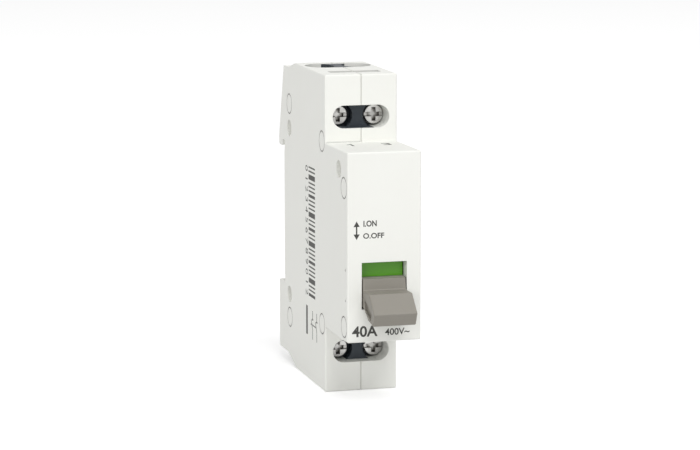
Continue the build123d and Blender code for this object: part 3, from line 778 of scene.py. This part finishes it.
# Pins and detent leaf. The pins are ground from bright drawn wire, and the leaf is bent from spring
# strip, blued by its heat treatment, so that its nose drops in the drum's notch at OFF and at ON.
wire_steel = (0.58, 0.58, 0.585)
wire_steel_dark = (0.40, 0.40, 0.41)
leaf_blue = (0.30, 0.31, 0.34)
leaf_blue_dark = (0.19, 0.19, 0.23)
drawn_wire = strip_metal(
    "drawn_wire", wire_steel, wire_steel_dark, (0.15, 1, 1),
    dull=0.36,
    bright=0.2,
    relief=0.002 * mm,
)
blued_strip = strip_metal(
    "blued_strip", leaf_blue, leaf_blue_dark, (1, 0.15, 0.15),
    dull=0.42,
    bright=0.26,
    relief=0.002 * mm,
)
for pin in ("toggle_pin", "drive_pin"):
    finish_node(pin, drawn_wire)
finish_node("detent_spring", blued_strip)


# Contact carrier. A black glass-filled moulding with a window for each bridge and a fork for the
# drive pin. It is dull, with a slightly rough skin where the glass comes near the surface.
carrier_black = (0.022, 0.022, 0.024)
carrier_black_shade = (0.034, 0.034, 0.036)
carrier_plastic = moulded_plastic(
    "carrier_plastic", carrier_black, carrier_black_shade,
    dull=0.66,
    bright=0.5,
    relief=0.012 * mm,
)
finish_node("contact_carrier", carrier_plastic)


# Coil springs. Compression springs of round steel wire with closed ends: one above each bridge and
# one in the rail clip. Each is as long as its seat allows.
contact_wire = 0.5 * mm
contact_turns = 3
clip_wire = 0.4 * mm
clip_turns = 6
closed_turns = 1
end_pitch_share = 1.03
coil_facets = 28
wire_facets = 10


def coil_mesh(low, high, wire, turns):
    """Compression spring of round wire standing along Z between two corners."""
    centre = Vector(((low.x + high.x) / 2, (low.y + high.y) / 2, low.z + wire / 2))
    radius = (high.x - low.x - wire) / 2
    end_pitch = wire * end_pitch_share
    rise = high.z - low.z - wire
    pitch = (rise - 2 * closed_turns * end_pitch) / turns
    bm = bmesh.new()
    place = Matrix.Translation((radius, 0, 0)) @ Matrix.Rotation(math.pi / 2, 4, "X")
    bmesh.ops.create_circle(bm, cap_ends=True, segments=wire_facets, radius=wire / 2, matrix=place)
    section = bm.edges[:] + bm.verts[:]
    up = Vector((0, 0, 1))
    section = helical_run(bm, section, up, end_pitch, closed_turns, coil_facets)
    section = helical_run(bm, section, up, pitch, turns, coil_facets)
    helical_run(bm, section, up, end_pitch, closed_turns, coil_facets)
    bmesh.ops.translate(bm, vec=centre, verts=bm.verts)
    mesh = mesh_from(bm, "coil")
    smooth_below(mesh, 60)
    return mesh


for pole in pole_names:
    replaced = "contact_spring_" + pole
    low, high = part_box(replaced)
    mesh = coil_mesh(low, high, contact_wire, contact_turns)
    coil = add_piece("contact_coil_" + pole, mesh, drawn_wire, "carrier")
    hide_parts(replaced)
    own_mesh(coil)
low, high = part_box("clip_spring")
mesh = coil_mesh(low, high, clip_wire, clip_turns)
coil = add_piece("clip_coil", mesh, drawn_wire, "case")
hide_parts("clip_spring")
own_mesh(coil)


# Rail clip. A pale moulded slide in the lower leg, pulled down with a screwdriver to let the rail go.
# Its wedge nose snaps behind the rail's lower lip.
clip_pale = (0.70, 0.71, 0.68)
clip_pale_shade = (0.66, 0.67, 0.63)
clip_plastic = moulded_plastic(
    "clip_plastic", clip_pale, clip_pale_shade,
    dull=0.5,
    bright=0.38,
    relief=0.006 * mm,
)
finish_node("rail_clip", clip_plastic)


# Print on the nose. One pass of dark grey ink from a soft pad: a double arrow with the two
# positions of the toggle, the current and voltage, and the numbers of the four terminals. Each row of
# words has its left, bottom, right and top in millimetres, its weight, and the face that it lies on.
ink_grey = (0.038, 0.038, 0.034)
ink_grey_thin = (0.058, 0.058, 0.052)
ink_mottle_per_metre = 1500
ink_proud = 0.008 * mm
ink_sunk = 0.012 * mm
half_nose = 22.5 * mm
arrow_middle = -6.76 * mm
arrow_low = 1.99 * mm
arrow_high = 6.35 * mm
arrow_head_width = 1.5 * mm
arrow_head_length = 1.3 * mm
arrow_shaft_width = 0.34 * mm
arrow_shaft_start = 0.9
one_stem = -3.95 * mm
one_foot = -47.6 * mm
one_top = -44.2 * mm
one_width = 0.52 * mm
one_flag = 1.05 * mm
one_flag_width = 0.416 * mm


def printed_ink():
    """Matt ink that lies thinner in some places."""
    material, tree, shader = empty_material("printed_ink")
    surface = tree.nodes.new("ShaderNodeGroup")
    surface.node_tree = moulded_surface
    surface.inputs["Colour"].default_value = rgba(ink_grey)
    surface.inputs["Shade"].default_value = rgba(ink_grey_thin)
    surface.inputs["Mottle"].default_value = ink_mottle_per_metre
    surface.inputs["Dull"].default_value = 0.7
    surface.inputs["Bright"].default_value = 0.55
    tree.links.new(surface.outputs["Colour"], shader.inputs["Base Color"])
    tree.links.new(surface.outputs["Roughness"], shader.inputs["Roughness"])
    return material


ink = printed_ink()
ink_thickness = ink_proud + ink_sunk
case_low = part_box("left_housing")[0]
onto_nose = Matrix.Translation((0, case_low.y, 0)) @ Matrix.Rotation(math.pi / 2, 4, "X")
onto_nose_top = Matrix.Translation((0, 0, half_nose))
onto_nose_underside = Matrix.Rotation(math.pi, 4, "X") @ onto_nose_top
turn_left = Matrix.Rotation(-math.pi / 2, 4, "Z") @ Matrix.Rotation(math.pi / 2, 4, "X")
onto_left = Matrix.Translation((case_low.x, 0, 0)) @ turn_left


def stroke(bm, start, end, width):
    """Straight printed line between two points of a flat drawing."""
    start = Vector((*start, 0))
    end = Vector((*end, 0))
    run = end - start
    middle = (start + end) / 2 + Vector((0, 0, (ink_proud - ink_sunk) / 2))
    turn = Matrix.Rotation(math.atan2(run.y, run.x), 4, "Z")
    size = Matrix.Diagonal((run.length, width, ink_thickness, 1))
    bmesh.ops.create_cube(bm, size=1, matrix=Matrix.Translation(middle) @ turn @ size)


def arrow_head(bm, tip, width, length, direction):
    """Printed triangle with its point at a place, pointing up for 1 and down for -1."""
    # A three-sided disc of radius 1 is 1.5 long and the root of 3 wide.
    middle = (ink_proud - ink_sunk) / 2
    place = Matrix.Translation((tip[0], tip[1] - direction * length * 2 / 3, middle))
    turn = Matrix.Rotation(direction * math.pi / 2, 4, "Z")
    across = width / math.sqrt(3)
    size = Matrix.Diagonal((length / 1.5, across, 1, 1))
    bmesh.ops.create_cone(
        bm,
        cap_ends=True,
        segments=3,
        radius1=1,
        radius2=1,
        depth=ink_thickness,
        matrix=place @ turn @ size @ Matrix.Rotation(-math.pi / 2, 4, "Z"),
    )


def print_on(name, bm, place):
    """Lays a flat drawing on a face of the case."""
    bmesh.ops.transform(bm, matrix=place, verts=bm.verts)
    return add_piece(name, mesh_from(bm, name), ink, "case")


def lettering(words, left, bottom, right, top, weight, turn=0):
    """Flat drawing of a few letters, turned by an angle and fitted in a rectangle."""
    curve = bpy.data.curves.new("letters", "FONT")
    curve.body = words
    curve.offset = weight
    curve.extrude = 0.5
    curve.resolution_u = 6
    item = bpy.data.objects.new("letters", curve)
    bpy.context.scene.collection.objects.link(item)
    graph = bpy.context.evaluated_depsgraph_get()
    flat = bpy.data.meshes.new_from_object(item.evaluated_get(graph))
    bpy.data.objects.remove(item)
    bpy.data.curves.remove(curve)
    bm = bmesh.new()
    bm.from_mesh(flat)
    bpy.data.meshes.remove(flat)
    bmesh.ops.rotate(bm, cent=(0, 0, 0), matrix=Matrix.Rotation(turn, 3, "Z"), verts=bm.verts)
    bmesh.ops.remove_doubles(bm, verts=bm.verts, dist=0.0001)
    low = Vector(min(vert.co[axis] for vert in bm.verts) for axis in range(3))
    high = Vector(max(vert.co[axis] for vert in bm.verts) for axis in range(3))
    bmesh.ops.translate(bm, vec=-low, verts=bm.verts)
    size = high - low
    fit = ((right - left) / size.x, (top - bottom) / size.y, ink_thickness / size.z)
    bmesh.ops.scale(bm, vec=fit, verts=bm.verts)
    bmesh.ops.translate(bm, vec=(left, bottom, -ink_sunk), verts=bm.verts)
    return bm


arrow = bmesh.new()
shaft_low = (arrow_middle, arrow_low + arrow_head_length * arrow_shaft_start)
shaft_high = (arrow_middle, arrow_high - arrow_head_length * arrow_shaft_start)
stroke(arrow, shaft_low, shaft_high, arrow_shaft_width)
arrow_head(arrow, (arrow_middle, arrow_high), arrow_head_width, arrow_head_length, 1)
arrow_head(arrow, (arrow_middle, arrow_low), arrow_head_width, arrow_head_length, -1)
print_on("print_arrow", arrow, onto_nose)
nose_words = {
    "print_on": ("I.ON", -5.11, 5.02, -1.88, 6.46, 0.03, onto_nose),
    "print_off": ("O.OFF", -5.17, 2.19, -0.06, 3.50, 0.026, onto_nose),
    "print_current": ("40A", -7.86, -21.13, -1.64, -18.5, 0.024, onto_nose),
    "print_voltage": ("400V~", 0.19, -21.0, 6.22, -19.4, 0.018, onto_nose),
    "print_terminal_3": ("3", 3.5, -47.6, 5.7, -44.2, 0.02, onto_nose_top),
    "print_terminal_2": ("2", -5.6, 44.2, -3.4, 47.6, 0.02, onto_nose_underside),
    "print_terminal_4": ("4", 3.3, 44.2, 5.8, 47.6, 0.02, onto_nose_underside),
}
for name, (words, left, bottom, right, top, weight, face) in nose_words.items():
    letters = lettering(words, left * mm, bottom * mm, right * mm, top * mm, weight)
    print_on(name, letters, face)
one = bmesh.new()
stroke(one, (one_stem, one_foot), (one_stem, one_top), one_width)
stroke(one, (one_stem, one_top - one_width / 2), (one_stem - one_flag, one_top - one_flag), one_flag_width)
print_on("print_terminal_1", one, onto_nose_top)


# Print on the left side. A column of plain bars in an even rhythm with counting numbers beside it, a
# short rule, and the circuit drawing of two linked contacts.
bars_near = 24.4 * mm
bars_far = 30.5 * mm
bars_low = -17.5 * mm
bars_high = 15 * mm
bar_rhythm = (0.38, 0.38, 1.25, 0.38, 0.38, 0.38, 0.75, 0.38, 0.38, 0.38, 1.25, 0.38, 0.38, 0.75)
bar_gap = 0.62 * mm
numbers_near = 21.4 * mm
numbers_far = 23.6 * mm
counting = "0 1 2 3 4 5 6 7 8 9 0 1 2"
rule_place = 22.5 * mm
rule_low = -27.4 * mm
rule_high = -20.1 * mm
rule_width = 1.5 * mm
symbol_width = 0.36 * mm
symbol_poles = (28.0 * mm, 32.0 * mm)
symbol_top = -20.6 * mm
symbol_foot = -27.8 * mm
contact_bar = -22.8 * mm
contact_bar_half = 0.6 * mm
blade_tip = -22.9 * mm
blade_root = -25.4 * mm
blade_lean = 1.3 * mm
link_height = -24.2 * mm
link_start = 26.2 * mm
link_pitch = 1.1 * mm
link_dash = 0.7 * mm
link_dashes = 5

bars = bmesh.new()
height = bars_high
index = 0
while height > bars_low:
    width = bar_rhythm[index % len(bar_rhythm)] * mm
    stroke(bars, (bars_near, height - width / 2), (bars_far, height - width / 2), width)
    height -= width + bar_gap
    index += 1
print_on("print_bars", bars, onto_left)
numbers = lettering(counting, numbers_near, bars_low, numbers_far, bars_high, 0, -math.pi / 2)
print_on("print_numbers", numbers, onto_left)
rule = bmesh.new()
stroke(rule, (rule_place, rule_low), (rule_place, rule_high), rule_width)
print_on("print_rule", rule, onto_left)
symbol = bmesh.new()
for line in symbol_poles:
    stroke(symbol, (line, symbol_top), (line, contact_bar), symbol_width)
    stroke(symbol, (line, blade_root), (line, symbol_foot), symbol_width)
    stroke(symbol, (line, blade_root), (line - blade_lean, blade_tip), symbol_width)
    bar_start = (line - contact_bar_half, contact_bar)
    bar_end = (line + contact_bar_half, contact_bar)
    stroke(symbol, bar_start, bar_end, symbol_width)
for dash in range(link_dashes):
    dash_left = link_start + link_pitch * dash
    stroke(symbol, (dash_left, link_height), (dash_left + link_dash, link_height), symbol_width)
print_on("print_circuit", symbol, onto_left)


# Camera. The photograph was taken from the left of the front and a little above, from 0.6 m away,
# with a long lens.
camera_azimuth = math.radians(-15.61)
camera_elevation = math.radians(8.79)
camera_distance = 599.97 * mm
camera_target = Vector((1.14, -26.0, 0.14)) * mm
camera_lens = 124.77
sensor_width = 36
camera_data = bpy.data.cameras.new("camera")
camera_data.lens = camera_lens
camera_data.sensor_width = sensor_width
camera_data.clip_start = 0.01
camera = bpy.data.objects.new("camera", camera_data)
bpy.context.scene.collection.objects.link(camera)
backwards = Vector(
    (
        math.sin(camera_azimuth) * math.cos(camera_elevation),
        -math.cos(camera_azimuth) * math.cos(camera_elevation),
        math.sin(camera_elevation),
    )
)
camera.location = camera_target + camera_distance * backwards
camera.rotation_euler = (-backwards).to_track_quat("-Z", "Y").to_euler()
bpy.context.scene.camera = camera


# Studio. The switch stands on a wide white table under a large soft light at the front, with a paler
# one from the left and white all round. Each lamp has its place, its width and its power in watts.
ambient_level = 0.53
floor_size = 12
floor_white = (0.8, 0.8, 0.8)
floor_glow = 0.4
lamps = {
    "front_lamp": ((0.2, -1.7, 2.4), 1.9, 42.5),
    "left_lamp": ((-1.65, -1.6, 0.85), 1.7, 14),
}
world = bpy.data.worlds.new("studio")
bpy.context.scene.world = world
world.use_nodes = True
tree = world.node_tree
tree.nodes.clear()
sky = tree.nodes.new("ShaderNodeBackground")
result = tree.nodes.new("ShaderNodeOutputWorld")
tree.links.new(sky.outputs["Background"], result.inputs["Surface"])
sky.inputs["Color"].default_value = (1, 1, 1, 1)


def seen_directly(tree):
    """One for camera, mirror and glass rays, and nought for the rest."""
    path = tree.nodes.new("ShaderNodeLightPath")
    seen = path.outputs["Is Camera Ray"]
    for ray in ("Is Glossy Ray", "Is Transmission Ray"):
        either = tree.nodes.new("ShaderNodeMath")
        either.operation = "MAXIMUM"
        tree.links.new(seen, either.inputs[0])
        tree.links.new(path.outputs[ray], either.inputs[1])
        seen = either.outputs["Value"]
    return seen


level = tree.nodes.new("ShaderNodeMapRange")
level.inputs["To Min"].default_value = ambient_level
level.inputs["To Max"].default_value = 1
tree.links.new(seen_directly(tree), level.inputs["Value"])
tree.links.new(level.outputs["Result"], sky.inputs["Strength"])
for name, (place, size, power) in lamps.items():
    lamp_data = bpy.data.lights.new(name, "AREA")
    lamp_data.shape = "DISK"
    lamp_data.size = size
    lamp_data.energy = power
    lamp = bpy.data.objects.new(name, lamp_data)
    bpy.context.scene.collection.objects.link(lamp)
    lamp.location = place
    lamp.rotation_euler = (camera_target - lamp.location).to_track_quat("-Z", "Y").to_euler()

floor_bm = bmesh.new()
under = Matrix.Translation((0, 0, cad_low.z))
bmesh.ops.create_grid(floor_bm, x_segments=1, y_segments=1, size=floor_size / 2, matrix=under)
floor_mesh = bpy.data.meshes.new("floor")
floor_bm.to_mesh(floor_mesh)
floor_bm.free()
floor = bpy.data.objects.new("floor", floor_mesh)
bpy.context.scene.collection.objects.link(floor)
material, tree, shader = empty_material("white_table")
shader.inputs["Base Color"].default_value = rgba(floor_white)
shader.inputs["Roughness"].default_value = 0.9
shader.inputs["Specular IOR Level"].default_value = 0
shader.inputs["Emission Color"].default_value = (1, 1, 1, 1)
glow = tree.nodes.new("ShaderNodeMath")
glow.operation = "MULTIPLY"
glow.inputs[1].default_value = floor_glow
tree.links.new(seen_directly(tree), glow.inputs[0])
tree.links.new(glow.outputs["Value"], shader.inputs["Emission Strength"])
floor_mesh.materials.append(material)
floor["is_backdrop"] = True

bpy.context.scene.view_settings.view_transform = "Standard"
low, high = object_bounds()
